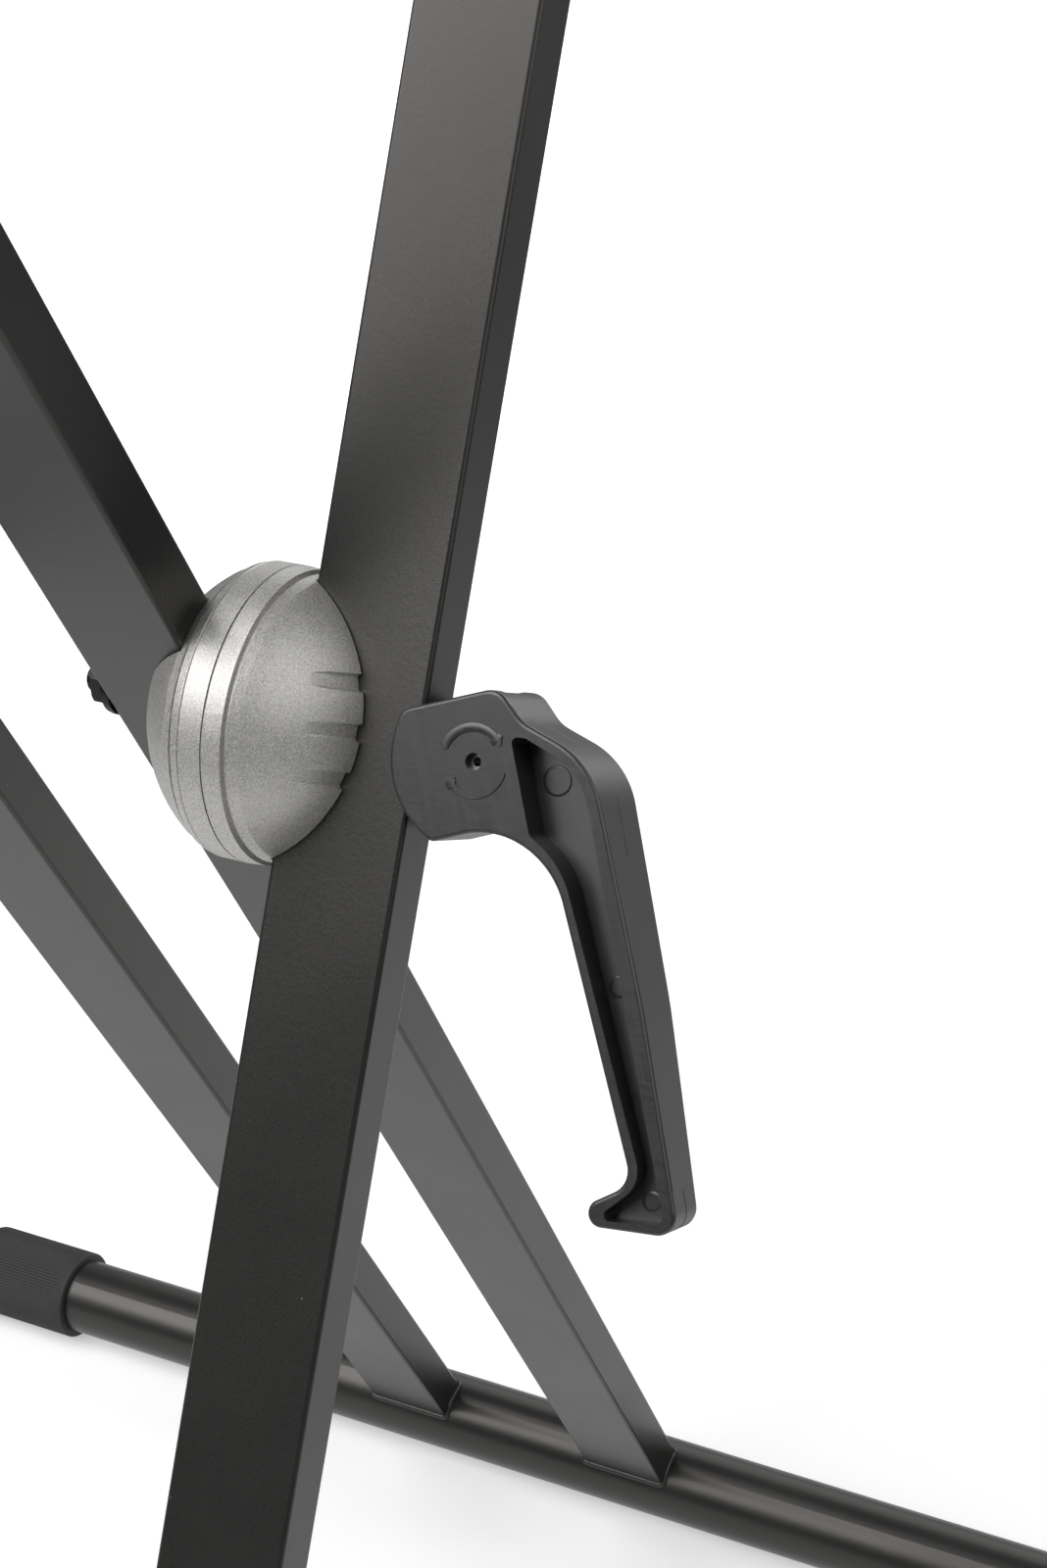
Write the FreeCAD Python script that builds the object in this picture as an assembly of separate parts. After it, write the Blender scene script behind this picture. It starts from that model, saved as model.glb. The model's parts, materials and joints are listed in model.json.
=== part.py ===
import FreeCAD, Part
import math
import os

# Folding keyboard stand with two crossed pairs of legs.
# The outer legs and the inner legs are two welded frames that turn about one hinge axis along Y.
# A cam lever on the front leg pulls a rod through the front hub and clamps the frames together.
# Frame: +Z up, origin on the floor under the middle of the stand, the front at -Y.

# Legs: rectangular tube with its broad sides along the hinge axis
leg_depth = 30.0
leg_width = 13.5
leg_wall = 1.5
leg_corner = 1.1
leg_inner_corner = 0.4
leg_reach = 479.0
lean_deg = 27.76

# Places of the legs along the hinge axis
inner_pair_spacing = 86.0
hub_gap = 16.6

# Foot and top tubes: round tube welded across the ends of each pair of legs
cross_radius = 14.1
cross_wall = 1.5
bare_length = 390.6

# Rubber caps pushed on the ends of the round tubes
cap_wall = 2.7
cap_grip = 41.0
cap_end_wall = 4.0
cap_end_round = 3.0
cap_lip_round = 0.8

# Hub shells: domed castings that straddle a leg and meet at the centre ring
rim_radius = 32.6
rim_taper = 0.4
rim_edge_round = 0.35
shoulder_step = 1.2
shoulder_band = 2.1
shoulder_drop = 0.9
dome_height = 25.7
groove_place = 6.4
groove_width = 1.0
groove_depth = 0.4
slot_edge_round = 0.4
shell_wall = 3.0
rim_wall = 5.0
channel_wall = 2.4
slot_clearance = 0.15
front_face_place = 1.55
rear_face_place = 4.0

# Flutes in each dome: channels that start at the leg's slot and run out on the dome
flute_count = 3
flute_pitch = 10.4
flute_width = 3.8
flute_depth = 1.35
flute_run = 14.0
flute_floor_round = 0.8

# Clutch inside the hub
plate_radius = 27.0
plate_thickness = 2.2
friction_inner_radius = 13.0
friction_outer_radius = 25.9
friction_groove_width = 1.2
friction_groove_depth = 0.5
web_thickness = 2.0
web_bore_radius = 10.0
seam_gap = 0.15
running_clearance = 0.05

# Disc springs that push the hub open
spring_inner_radius = 3.4
spring_outer_radius = 8.6
spring_thickness = 0.8

# Sleeves that pass through the legs at the hinge axis
sleeve_radius = 6.0

# Pull rod, its eye, washer and flanged nut
rod_radius = 3.0
eye_radius = 6.0
eye_thickness = 8.0
rod_end_past_nut = 2.7
rod_end_chamfer = 0.6
washer_radius = 7.1
washer_thickness = 1.2
flange_radius = 6.9
flange_thickness = 1.3
nut_flats = 10.0
nut_height = 4.8
nut_chamfer = 0.5

# Cam lever; its pin lies a little below the rod's axis, along the leg
lever_reach = 100.0
lever_thickness = 20.4
lever_tip_thickness = 11.3
lever_web = 3.0
lever_edge_round = 0.8
cheek_clearance = 0.35
pin_standoff = 14.49
eye_drop = 0.79
pin_radius = 1.8
pin_bore_radius = 1.0
pin_recess = 2.2
pad_thickness = 2.5
pad_height = 10.0
pad_side_clearance = 0.15
cam_gap = 0.2
clamp_travel = 1.2
lever_swing_deg = 70.0
cam_start_deg = 245.0
cam_steps = 40
slot_room = 0.25

# Rear pivot between the second inner leg and the second outer leg
spacer_radius = 20.0
spacer_wrap = 5.0
spacer_edge_round = 2.0
pivot_radius = 4.0
pivot_head_flats = 13.0
pivot_head_height = 5.3
pivot_nut_height = 8.0
pivot_washer_radius = 8.0
pivot_washer_thickness = 1.6
friction_washer_thickness = 1.0
bolt_end_past_nut = 2.0

# Cutting tools run this far past what they cut
overrun = 40.0

# Corners of the lever's side outline, as shares of lever_reach from the pin:
# forward, up along the leg, corner radius; the last one is the round of the cheeks
lever_outline_shares = [
    (-0.181, 0.077, 0.035),
    (0.030, 0.159, 0.048),
    (0.094, 0.098, 0.090),
    (0.257, 0.047, 0.187),
    (0.4475, -0.421, 1.693),
    (0.601, -0.856, 0.042),
    (0.395, -0.881, 0.028),
    (0.401, -0.832, 0.029),
    (0.482, -0.773, 0.052),
    (0.2065, -0.172, 0.190),
    (0.060, -0.126, 0.180),
    (-0.070, -0.181, 0.019),
    (-0.213, -0.0996, 0.192),
]
lever_pocket_shares = [
    (0.074, 0.065, 0.012),
    (0.148, -0.126, 0.0215),
    (0.2255, -0.166, 0.209),
    (0.505, -0.765, 0.068),
    (0.414, -0.864, 0.0125),
    (0.567, -0.838, 0.021),
    (0.240, 0.022, 0.148),
    (0.1065, 0.068, 0.031),
]

# Derived places
inner_y = inner_pair_spacing / 2
outer_y = inner_y + leg_depth + hub_gap
front_hub_y = -(inner_y + outer_y) / 2
rear_hub_y = -front_hub_y
cap_radius = cross_radius + cap_wall
groove_from = groove_place - groove_width / 2
groove_to = groove_place + groove_width / 2
shoulder_radius = rim_radius - shoulder_step
dome_edge_radius = shoulder_radius - shoulder_drop
dome_from = groove_to + shoulder_band
dome_rise = dome_height - dome_from
dome_radius = (dome_edge_radius ** 2 + dome_rise ** 2) / (2 * dome_rise)
dome_setback = dome_radius - dome_height
cheek_radius = lever_outline_shares[-1][2] * lever_reach
lean = math.radians(lean_deg)
hinge_height = leg_reach * math.cos(lean) + cap_radius
seat_place = hub_gap / 2
plate_bore_radius = rod_radius + running_clearance
pin_y = -outer_y - leg_depth / 2 - pin_standoff
full_turn = 360.0
half_turn = 180.0
quarter_turn = 90.0

X_AXIS = FreeCAD.Vector(1, 0, 0)
Y_AXIS = FreeCAD.Vector(0, 1, 0)
Z_AXIS = FreeCAD.Vector(0, 0, 1)
ORIGIN = FreeCAD.Vector(0, 0, 0)


def vec(x, y, z):
    return FreeCAD.Vector(x, y, z)


def rod_along_y(radius, y_from, y_to, x=0, z=0):
    """A round bar along Y between two places."""
    return Part.makeCylinder(radius, y_to - y_from, vec(x, y_from, z), Y_AXIS)


def ring_along_y(outer, inner, y_from, y_to):
    """A flat ring round the hinge axis."""
    return rod_along_y(outer, y_from, y_to).cut(rod_along_y(inner, y_from, y_to))


def block(x_half, y_from, y_to, z_from, z_to):
    """A block centred on the leg's middle plane."""
    return Part.makeBox(2 * x_half, y_to - y_from, z_to - z_from, vec(-x_half, y_from, z_from))


def turned(points):
    """A solid of revolution about Y from points given as (radius, place along Y)."""
    corners = [vec(radius, place, 0) for radius, place in points]
    outline = Part.makePolygon(corners + [corners[0]])
    return Part.Face(outline).revolve(ORIGIN, Y_AXIS, full_turn)


def hexagon_along_y(flats, y_from, y_to):
    """A hexagonal bar round the hinge axis."""
    corner_radius = flats / 2 / math.cos(math.pi / 6)
    angles = [math.pi / 3 * step for step in range(7)]
    corners = [vec(corner_radius * math.cos(a), y_from, corner_radius * math.sin(a)) for a in angles]
    return Part.Face(Part.makePolygon(corners)).extrude(Y_AXIS * (y_to - y_from))


def chamfered_hexagon(flats, y_from, y_to, chamfer, chamfered_ends):
    """A hexagonal bar whose corners are turned off at the ends that show."""
    bar = hexagon_along_y(flats, y_from, y_to)
    corner_radius = flats / 2 / math.cos(math.pi / 6)
    core = rod_along_y(corner_radius, y_from, y_to)
    edges = [e for e in core.Edges if e.BoundBox.YLength < chamfer / 2]
    wanted = [e for e in edges if any(abs(e.BoundBox.YMin - end) < chamfer / 2 for end in chamfered_ends)]
    return bar.common(core.makeChamfer(chamfer, wanted))


def stand_up(shape, lean_sign):
    """Lean a leg's own frame about the hinge axis and lift it to the hinge height."""
    placed = shape.copy()
    placed.rotate(ORIGIN, Y_AXIS, lean_sign * lean_deg)
    placed.translate(vec(0, 0, hinge_height))
    return placed


def leg_section(x_half, y_half, corner, z):
    """The rounded rectangle of a leg tube, inside or outside."""
    plain = Part.makeBox(2 * x_half, 2 * y_half, overrun, vec(-x_half, -y_half, z))
    upright = [e for e in plain.Edges if e.BoundBox.ZLength > overrun / 2]
    rounded = plain.makeFillet(corner, upright)
    ends = [f for f in rounded.Faces if f.BoundBox.ZLength < corner / 2 and f.CenterOfMass.z < z + corner]
    return ends[0]


def leg(centre_y, sleeve_hole_radius):
    """One leg tube, coped to its round tubes, with the cross hole for its sleeve."""
    start = -leg_reach
    length = 2 * leg_reach
    outside = leg_section(leg_width / 2, leg_depth / 2, leg_corner, start)
    inside = leg_section(leg_width / 2 - leg_wall, leg_depth / 2 - leg_wall, leg_inner_corner, start)
    tube = outside.extrude(Z_AXIS * length).cut(inside.extrude(Z_AXIS * length))
    tube.translate(vec(0, centre_y, 0))
    reach_y = leg_depth / 2 + overrun
    for end in (-leg_reach, leg_reach):
        tube = tube.cut(rod_along_y(cross_radius, centre_y - reach_y, centre_y + reach_y, z=end))
    return tube.cut(rod_along_y(sleeve_hole_radius, centre_y - reach_y, centre_y + reach_y))


def cross_tube(end_z):
    """One round tube across a pair of legs, in the legs' own frame."""
    half = bare_length / 2 + cap_grip
    outside = rod_along_y(cross_radius, -half, half, z=end_z)
    return outside.cut(rod_along_y(cross_radius - cross_wall, -half, half, z=end_z))


def end_cap(end_z, side):
    """A rubber cap with a closed rounded end, open towards the middle of the stand."""
    start = bare_length / 2
    seat = start + cap_grip
    finish = seat + cap_end_wall
    body = rod_along_y(cap_radius, start, finish)
    outer_rim = [e for e in body.Edges if abs(e.BoundBox.YMin - finish) < cap_lip_round / 2]
    outer_rim = [e for e in outer_rim if e.BoundBox.YLength < cap_lip_round / 2]
    body = body.makeFillet(cap_end_round, outer_rim)
    inner_rim = [e for e in body.Edges if e.BoundBox.YMax < start + cap_lip_round / 2]
    body = body.makeFillet(cap_lip_round, inner_rim)
    body = body.cut(rod_along_y(cross_radius, start, seat))
    if side < 0:
        body.rotate(ORIGIN, Z_AXIS, half_turn)
    body.translate(vec(0, 0, end_z))
    return body


def shell_form(face_place):
    """A shell before it is hollowed: rim, groove and dome, turned about the hinge axis."""
    rim_end = rim_radius - rim_taper
    groove_radius = shoulder_radius - groove_depth
    diagonal = rim_edge_round * math.cos(math.pi / 4)
    corner = vec(rim_radius - rim_edge_round, face_place + rim_edge_round, 0)
    corner_start = corner - Y_AXIS * rim_edge_round
    corner_end = corner + X_AXIS * rim_edge_round
    dome_foot = vec(math.sqrt(dome_radius ** 2 - (groove_to + dome_setback) ** 2), groove_to, 0)
    half_way = dome_foot.x / 2
    dome_middle = vec(half_way, math.sqrt(dome_radius ** 2 - half_way ** 2) - dome_setback, 0)
    apex = vec(0, dome_height, 0)
    foot = vec(0, face_place, 0)
    stops = [corner_end, vec(rim_end, groove_from, 0), vec(groove_radius, groove_from, 0),
             vec(groove_radius, groove_to, 0), dome_foot]
    edges = [
        Part.LineSegment(foot, corner_start).toShape(),
        Part.Arc(corner_start, corner + vec(diagonal, -diagonal, 0), corner_end).toShape(),
    ]
    edges += [Part.LineSegment(start, end).toShape() for start, end in zip(stops, stops[1:])]
    edges += [
        Part.Arc(dome_foot, dome_middle, apex).toShape(),
        Part.LineSegment(apex, foot).toShape(),
    ]
    return Part.Face(Part.Wire(edges)).revolve(ORIGIN, Y_AXIS, full_turn)


def shoulder_cutter():
    """What is turned off the foot of the dome to leave the conical shoulder beside the groove."""
    return turned([
        (shoulder_radius, groove_to),
        (dome_edge_radius, dome_from),
        (rim_radius, dome_from),
        (rim_radius, groove_to),
    ])


def shell_core(face_place):
    """The hollow inside a shell, up to its channel walls."""
    bore = rod_along_y(rim_radius - rim_wall, face_place, dome_height)
    ball = Part.makeSphere(dome_radius - shell_wall, vec(0, -dome_setback, 0))
    return bore.common(ball)


def flute(height):
    """The cutter of one flute: its floor is the dome's own ball, moved to sink towards the leg."""
    mouth_x = leg_width / 2
    end_x = mouth_x + flute_run
    mouth = vec(mouth_x, math.sqrt(dome_radius ** 2 - mouth_x ** 2) - dome_setback - flute_depth, 0)
    end = vec(end_x, math.sqrt(dome_radius ** 2 - end_x ** 2) - dome_setback, 0)
    half_chord = (end - mouth) / 2
    inward = vec(half_chord.y, -half_chord.x, 0).normalize()
    centre = mouth + half_chord + inward * math.sqrt(dome_radius ** 2 - half_chord.Length ** 2)
    low_corner = vec(mouth_x, dome_from, height - flute_width / 2)
    channel = Part.makeBox(flute_run + flute_width, dome_rise, flute_width, low_corner)
    channel = channel.cut(Part.makeSphere(dome_radius, centre))
    floors = [f for f in channel.Faces if isinstance(f.Surface, Part.Sphere)]
    sides = [e for f in floors for e in f.Edges if e.BoundBox.ZLength < running_clearance]
    return channel.makeFillet(flute_floor_round, sides)


def hub_shell(face_place, facing):
    """A fluted domed shell that straddles its leg; facing is -1 for the front leg."""
    slot_half = leg_width / 2 + slot_clearance
    shell = shell_form(face_place)
    shell = shell.cut(block(slot_half, seat_place, dome_height, -rim_radius, rim_radius))
    beside_slot = [e for e in shell.Edges if e.BoundBox.XLength < running_clearance
                   and abs(abs(e.BoundBox.XMin) - slot_half) < running_clearance]
    lips = [e for e in beside_slot if e.BoundBox.YMax > seat_place * 2]
    shell = shell.makeFillet(slot_edge_round, lips).cut(shoulder_cutter())
    channel = block(slot_half + channel_wall, face_place, dome_height, -rim_radius, rim_radius)
    shell = shell.cut(shell_core(face_place).cut(channel))
    shell = shell.cut(rod_along_y(plate_radius + running_clearance, face_place, face_place + plate_thickness))
    shell = shell.cut(rod_along_y(sleeve_radius, face_place, seat_place))
    middle = (flute_count - 1) / 2
    for step in range(flute_count):
        cutter = flute((step - middle) * flute_pitch)
        shell = shell.cut(cutter)
        cutter.rotate(ORIGIN, Y_AXIS, half_turn)
        shell = shell.cut(cutter)
    if facing < 0:
        shell.rotate(ORIGIN, Z_AXIS, half_turn)
    shell.translate(vec(0, front_hub_y, 0))
    return shell


def clutch_plate(face_place, web_face, facing):
    """A pressed plate with a raised friction track that bears on the centre ring's web."""
    back = face_place + plate_thickness
    track_middle = (friction_inner_radius + friction_outer_radius) / 2
    groove_in = track_middle - friction_groove_width / 2
    groove_out = track_middle + friction_groove_width / 2
    track = web_face + running_clearance
    plate = turned([
        (plate_bore_radius, back),
        (plate_radius, back),
        (plate_radius, face_place),
        (friction_outer_radius, face_place),
        (friction_outer_radius, track),
        (groove_out, track),
        (groove_out, track + friction_groove_depth),
        (groove_in, track + friction_groove_depth),
        (groove_in, track),
        (friction_inner_radius, track),
        (friction_inner_radius, face_place),
        (plate_bore_radius, face_place),
    ])
    if facing < 0:
        plate.rotate(ORIGIN, Z_AXIS, half_turn)
    plate.translate(vec(0, front_hub_y, 0))
    return plate


def centre_ring(web_from, web_to):
    """The ring seen between the two shells, with the web that the tracks grip."""
    rim_inner = friction_outer_radius + running_clearance
    ring = turned([
        (rim_inner, -front_face_place + seam_gap),
        (rim_radius, -front_face_place + seam_gap),
        (rim_radius, rear_face_place - seam_gap),
        (rim_inner, rear_face_place - seam_gap),
        (rim_inner, web_to),
        (web_bore_radius, web_to),
        (web_bore_radius, web_from),
        (rim_inner, web_from),
    ])
    ring.translate(vec(0, front_hub_y, 0))
    return ring


def release_springs():
    """Two disc springs set rim to rim between the clutch plates."""
    middle = (rear_face_place - front_face_place) / 2
    springs = []
    for foot in (-front_face_place + running_clearance, rear_face_place - running_clearance):
        towards = 1 if foot < middle else -1
        rim = middle
        spring = turned([
            (spring_inner_radius, foot),
            (spring_outer_radius, rim - towards * spring_thickness),
            (spring_outer_radius, rim),
            (spring_inner_radius, foot + towards * spring_thickness),
        ])
        spring.translate(vec(0, front_hub_y, 0))
        springs.append(spring)
    return Part.makeCompound(springs)


def leg_sleeve(centre_y, bore_radius):
    """A steel sleeve flush with both narrow faces of its leg."""
    half = leg_depth / 2
    sleeve = ring_along_y(sleeve_radius, bore_radius, -half, half)
    sleeve.translate(vec(0, centre_y, 0))
    return sleeve


def rounded_outline(corner_shares, reach):
    """A closed wire of lines joined by tangent arcs, from corners given as shares of reach."""
    corners = [(vec(forward * reach, up * reach, 0), share * reach) for forward, up, share in corner_shares]
    count = len(corners)
    arcs = []
    for index, (corner, radius) in enumerate(corners):
        before = (corners[index - 1][0] - corner).normalize()
        after = (corners[(index + 1) % count][0] - corner).normalize()
        half_angle = before.getAngle(after) / 2
        setback = radius / math.tan(half_angle)
        towards_centre = (before + after).normalize()
        middle = corner + towards_centre * (radius / math.sin(half_angle) - radius)
        arcs.append((corner + before * setback, middle, corner + after * setback))
    edges = []
    for index, (start, middle, end) in enumerate(arcs):
        edges.append(Part.Arc(start, middle, end).toShape())
        next_start = arcs[(index + 1) % count][0]
        edges.append(Part.LineSegment(end, next_start).toShape())
    return Part.Wire(edges)


def side_prism(wire, s_from, s_to):
    """A side outline carried across the lever's thickness."""
    prism = Part.Face(wire).extrude(Z_AXIS * (s_to - s_from))
    prism.translate(vec(0, 0, s_from))
    return prism


def polar(radius, angle_deg):
    angle = math.radians(angle_deg)
    return vec(radius * math.cos(angle), radius * math.sin(angle), 0)


def cam_radius(angle_deg):
    """The cam's radius falls by clamp_travel over the lever's swing."""
    closed = pin_standoff - pad_thickness - cam_gap
    past = min(max(half_turn - angle_deg, 0), lever_swing_deg)
    return closed - clamp_travel * past / lever_swing_deg


def open_place(towards_leg, up_leg):
    """Where in the lever a point beside the leg comes to lie when the lever is fully open."""
    return polar(towards_leg, half_turn - lever_swing_deg) + polar(up_leg, quarter_turn - lever_swing_deg)


def leg_slot():
    """What the leg and its pad need between the cheeks; the solid back of the head ends the swing."""
    pad_top = eye_drop + pad_height / 2 + slot_room
    leg_face = pin_standoff - clamp_travel - slot_room
    open_radius = cam_radius(0)
    cam_end_deg = half_turn - lever_swing_deg - math.degrees(math.asin(pad_top / open_radius))
    sweep = cam_start_deg - cam_end_deg
    angles = [cam_end_deg + sweep * step / cam_steps for step in range(cam_steps + 1)]
    places = [polar(cam_radius(angle), angle) for angle in angles]
    cam = Part.BSplineCurve()
    cam.interpolate(places)
    far = 2 * cheek_radius
    low_far = polar(far, cam_start_deg)
    high_far = open_place(leg_face, math.sqrt(far ** 2 - leg_face ** 2))
    notch = open_place(leg_face, pad_top)
    wire = Part.Wire([
        cam.toShape(),
        Part.LineSegment(places[-1], low_far).toShape(),
        Part.Arc(low_far, polar(far, half_turn), high_far).toShape(),
        Part.LineSegment(high_far, notch).toShape(),
        Part.LineSegment(notch, places[0]).toShape(),
    ])
    half = leg_width / 2 + cheek_clearance
    return side_prism(wire, -half, half)


def eye_slot():
    """The slot that lets the rod and its eye stay put while the lever swings."""
    far = pin_standoff
    rod_room = rod_radius + slot_room
    rod_foot = eye_drop - rod_room
    open_end = open_place(far, eye_drop + rod_room)
    corners = [
        vec(-far, rod_foot, 0),
        vec(0, rod_foot, 0),
        open_place(0, eye_drop + rod_room),
        open_end,
        vec(-far, open_end.y, 0),
    ]
    half = eye_thickness / 2 + slot_room
    slot = side_prism(Part.makePolygon(corners + [corners[0]]), -half, half)
    return slot.fuse(Part.makeCylinder(eye_radius + slot_room, 2 * half, vec(0, 0, -half), Z_AXIS))


def taper_envelope():
    """The lever seen edge on: full thickness at the pin, thinner towards the tip."""
    tip_half = lever_tip_thickness / 2
    top = cheek_radius
    top_half = tip_half + (lever_thickness - lever_tip_thickness) / 2 * (lever_reach + top) / lever_reach
    points = [(top, top_half), (-lever_reach, tip_half), (-lever_reach, -tip_half), (top, -top_half)]
    corners = [vec(-lever_reach, up, out) for up, out in points]
    face = Part.Face(Part.makePolygon(corners + [corners[0]]))
    return face.extrude(X_AXIS * (2 * lever_reach))


def to_leg_frame(shape):
    """Turn a shape drawn as (forward, up, across) into the leg's own frame at the pin."""
    turn = FreeCAD.Matrix(0, 0, -1, 0, -1, 0, 0, 0, 0, 1, 0, 0, 0, 0, 0, 1)
    placed = shape.copy()
    placed.Placement = FreeCAD.Placement(turn)
    placed.translate(vec(0, pin_y, -eye_drop))
    return placed


def cam_lever():
    """The moulded lever: round cheeks astride the leg, a cam between them and an I-section grip."""
    outline = rounded_outline(lever_outline_shares, lever_reach)
    body = side_prism(outline, -lever_thickness, lever_thickness).common(taper_envelope())
    rims = [e for f in body.Faces if abs(f.normalAt(0, 0).z) > math.cos(lean) for e in f.Edges]
    body = body.makeFillet(lever_edge_round, rims)
    pocket = rounded_outline(lever_pocket_shares, lever_reach)
    for side in (1, -1):
        floor = side * lever_web / 2
        mouth = side * lever_thickness
        body = body.cut(side_prism(pocket, min(floor, mouth), max(floor, mouth)))
    body = body.cut(leg_slot())
    body = body.cut(eye_slot())
    body = body.cut(Part.makeCylinder(pin_radius, 2 * lever_thickness, vec(0, 0, -lever_thickness), Z_AXIS))
    return to_leg_frame(body)


def lever_pin():
    """A hollow spring pin, set in from both faces of the lever."""
    half = lever_thickness / 2 - pin_recess
    pin = Part.makeCylinder(pin_radius, 2 * half, vec(0, 0, -half), Z_AXIS)
    pin = pin.cut(Part.makeCylinder(pin_bore_radius, 2 * half, vec(0, 0, -half), Z_AXIS))
    return to_leg_frame(pin)


def cam_pad():
    """The plate on the front leg's narrow face that the cam bears on."""
    face_y = -outer_y - leg_depth / 2
    x_half = leg_width / 2 - pad_side_clearance
    pad = block(x_half, face_y - pad_thickness, face_y, -pad_height / 2, pad_height / 2)
    upright = [e for e in pad.Edges if e.BoundBox.YLength > pad_thickness / 2]
    pad = pad.makeFillet(leg_corner, upright)
    return pad.cut(rod_along_y(rod_radius + running_clearance, face_y - pad_thickness, face_y))


def rod_places():
    """Where the washer, the nut and the rod's end lie behind the inner leg."""
    washer_from = -inner_y + leg_depth / 2 + running_clearance
    nut_from = washer_from + washer_thickness
    nut_to = nut_from + nut_height
    return washer_from, nut_from, nut_to, nut_to + rod_end_past_nut


def pull_rod():
    """The rod through the hub, with the eye that the lever turns on."""
    end = rod_places()[3]
    bar = rod_along_y(rod_radius, pin_y, end)
    tip = [e for e in bar.Edges if e.BoundBox.YMin > end - rod_end_chamfer / 2]
    bar = bar.makeChamfer(rod_end_chamfer, tip)
    eye_side = vec(-eye_thickness / 2, pin_y, -eye_drop)
    eye = Part.makeCylinder(eye_radius, eye_thickness, eye_side, X_AXIS)
    hole = Part.makeCylinder(pin_radius + running_clearance, eye_thickness, eye_side, X_AXIS)
    return bar.fuse(eye).removeSplitter().cut(hole)


def rod_washer():
    washer_from, nut_from = rod_places()[:2]
    return ring_along_y(washer_radius, rod_radius, washer_from, nut_from)


def rod_nut():
    """A flanged hexagon nut."""
    nut_from, nut_to = rod_places()[1:3]
    flange = rod_along_y(flange_radius, nut_from, nut_from + flange_thickness)
    outer_edge = [e for e in flange.Edges if e.BoundBox.YMin > nut_from + flange_thickness / 2]
    flange = flange.makeChamfer(nut_chamfer, outer_edge)
    hexagon = chamfered_hexagon(nut_flats, nut_from, nut_to, nut_chamfer, (nut_to,))
    return flange.fuse(hexagon).removeSplitter().cut(rod_along_y(rod_radius, nut_from, nut_to))


def pivot_spacer(leg_side):
    """A moulded spacer that straddles its leg at the rear pivot; leg_side is -1 for the inner leg."""
    face = friction_washer_thickness / 2
    finish = seat_place + spacer_wrap
    body = rod_along_y(spacer_radius, face, finish)
    rims = [e for e in body.Edges if e.BoundBox.YMin > finish - spacer_edge_round / 2]
    body = body.makeFillet(spacer_edge_round, rims)
    slot_half = leg_width / 2 + slot_clearance
    body = body.cut(block(slot_half, seat_place, finish, -spacer_radius, spacer_radius))
    body = body.cut(rod_along_y(pivot_radius + running_clearance, face, finish))
    if leg_side < 0:
        body.rotate(ORIGIN, Z_AXIS, half_turn)
    body.translate(vec(0, rear_hub_y, 0))
    return body


def pivot_friction_washer():
    """The thin washer between the two spacers."""
    half = friction_washer_thickness / 2 - running_clearance
    washer = ring_along_y(spacer_radius - spacer_edge_round, pivot_radius + running_clearance, -half, half)
    washer.translate(vec(0, rear_hub_y, 0))
    return washer


def pivot_places():
    """Where the rear pivot's head, washers and nut lie."""
    head_washer_from = inner_y - leg_depth / 2 - running_clearance - pivot_washer_thickness
    nut_washer_to = outer_y + leg_depth / 2 + pivot_washer_thickness
    return head_washer_from, nut_washer_to


def pivot_bolt():
    head_washer_from, nut_washer_to = pivot_places()
    end = nut_washer_to + pivot_nut_height + bolt_end_past_nut
    shank = rod_along_y(pivot_radius, head_washer_from, end)
    tip = [e for e in shank.Edges if e.BoundBox.YMin > end - rod_end_chamfer / 2]
    shank = shank.makeChamfer(rod_end_chamfer, tip)
    head_from = head_washer_from - pivot_head_height
    head = chamfered_hexagon(pivot_head_flats, head_from, head_washer_from, nut_chamfer, (head_from,))
    return shank.fuse(head)


def pivot_nut():
    """A locking nut with a turned collar over its insert."""
    nut_from = pivot_places()[1]
    nut_to = nut_from + pivot_nut_height
    collar = pivot_nut_height / 4
    hexagon = chamfered_hexagon(pivot_head_flats, nut_from, nut_to - collar, nut_chamfer, (nut_from,))
    top = rod_along_y(pivot_head_flats / 2 - nut_chamfer, nut_to - collar, nut_to)
    return hexagon.fuse(top).removeSplitter().cut(rod_along_y(pivot_radius, nut_from, nut_to))


def pivot_washers():
    head_washer_from, nut_washer_to = pivot_places()
    starts = (head_washer_from, nut_washer_to - pivot_washer_thickness)
    rings = [ring_along_y(pivot_washer_radius, pivot_radius, y, y + pivot_washer_thickness) for y in starts]
    return Part.makeCompound(rings)


OUTER = 1
INNER = -1


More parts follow.
